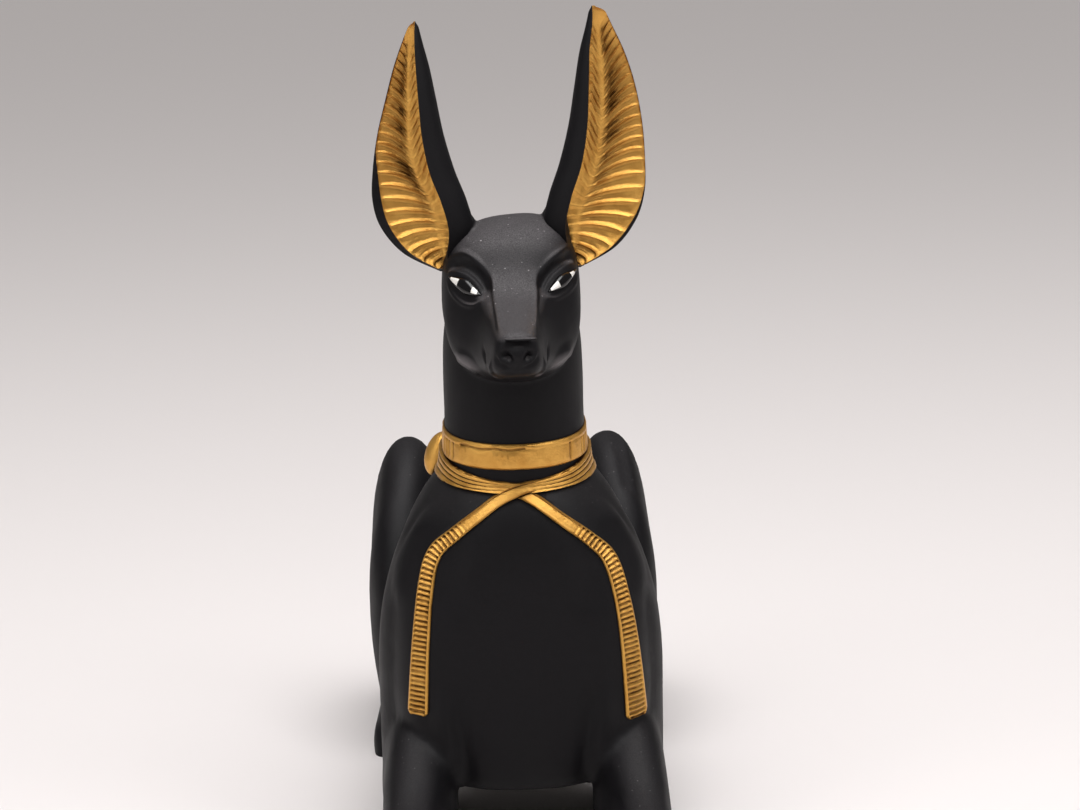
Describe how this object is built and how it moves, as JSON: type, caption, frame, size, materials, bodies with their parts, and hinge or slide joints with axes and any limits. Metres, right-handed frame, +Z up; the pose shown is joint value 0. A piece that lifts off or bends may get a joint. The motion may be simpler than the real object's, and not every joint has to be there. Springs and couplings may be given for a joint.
{
  "type": "lying jackal figurine",
  "caption": "Lean jackal lying with head and tall ears up and forelegs forward, with a band collar and a crossed scarf in relief, cast in one piece to stand on a table.",
  "frame": {"origin": "centre of the bounding box, on the plane that the paws and rump lie on", "axes": "-Y is the way the animal faces, +X is its left, +Z is up"},
  "size_m": [0.0784, 0.262, 0.207],
  "materials": {
    "painted_resin": "cast resin painted matt black, with gold paint on the ears' insides, collar, scarf and ribbons"
  },
  "bodies": {
    "root": {"jackal_figure": "painted_resin"}
  },
  "joints": []
}
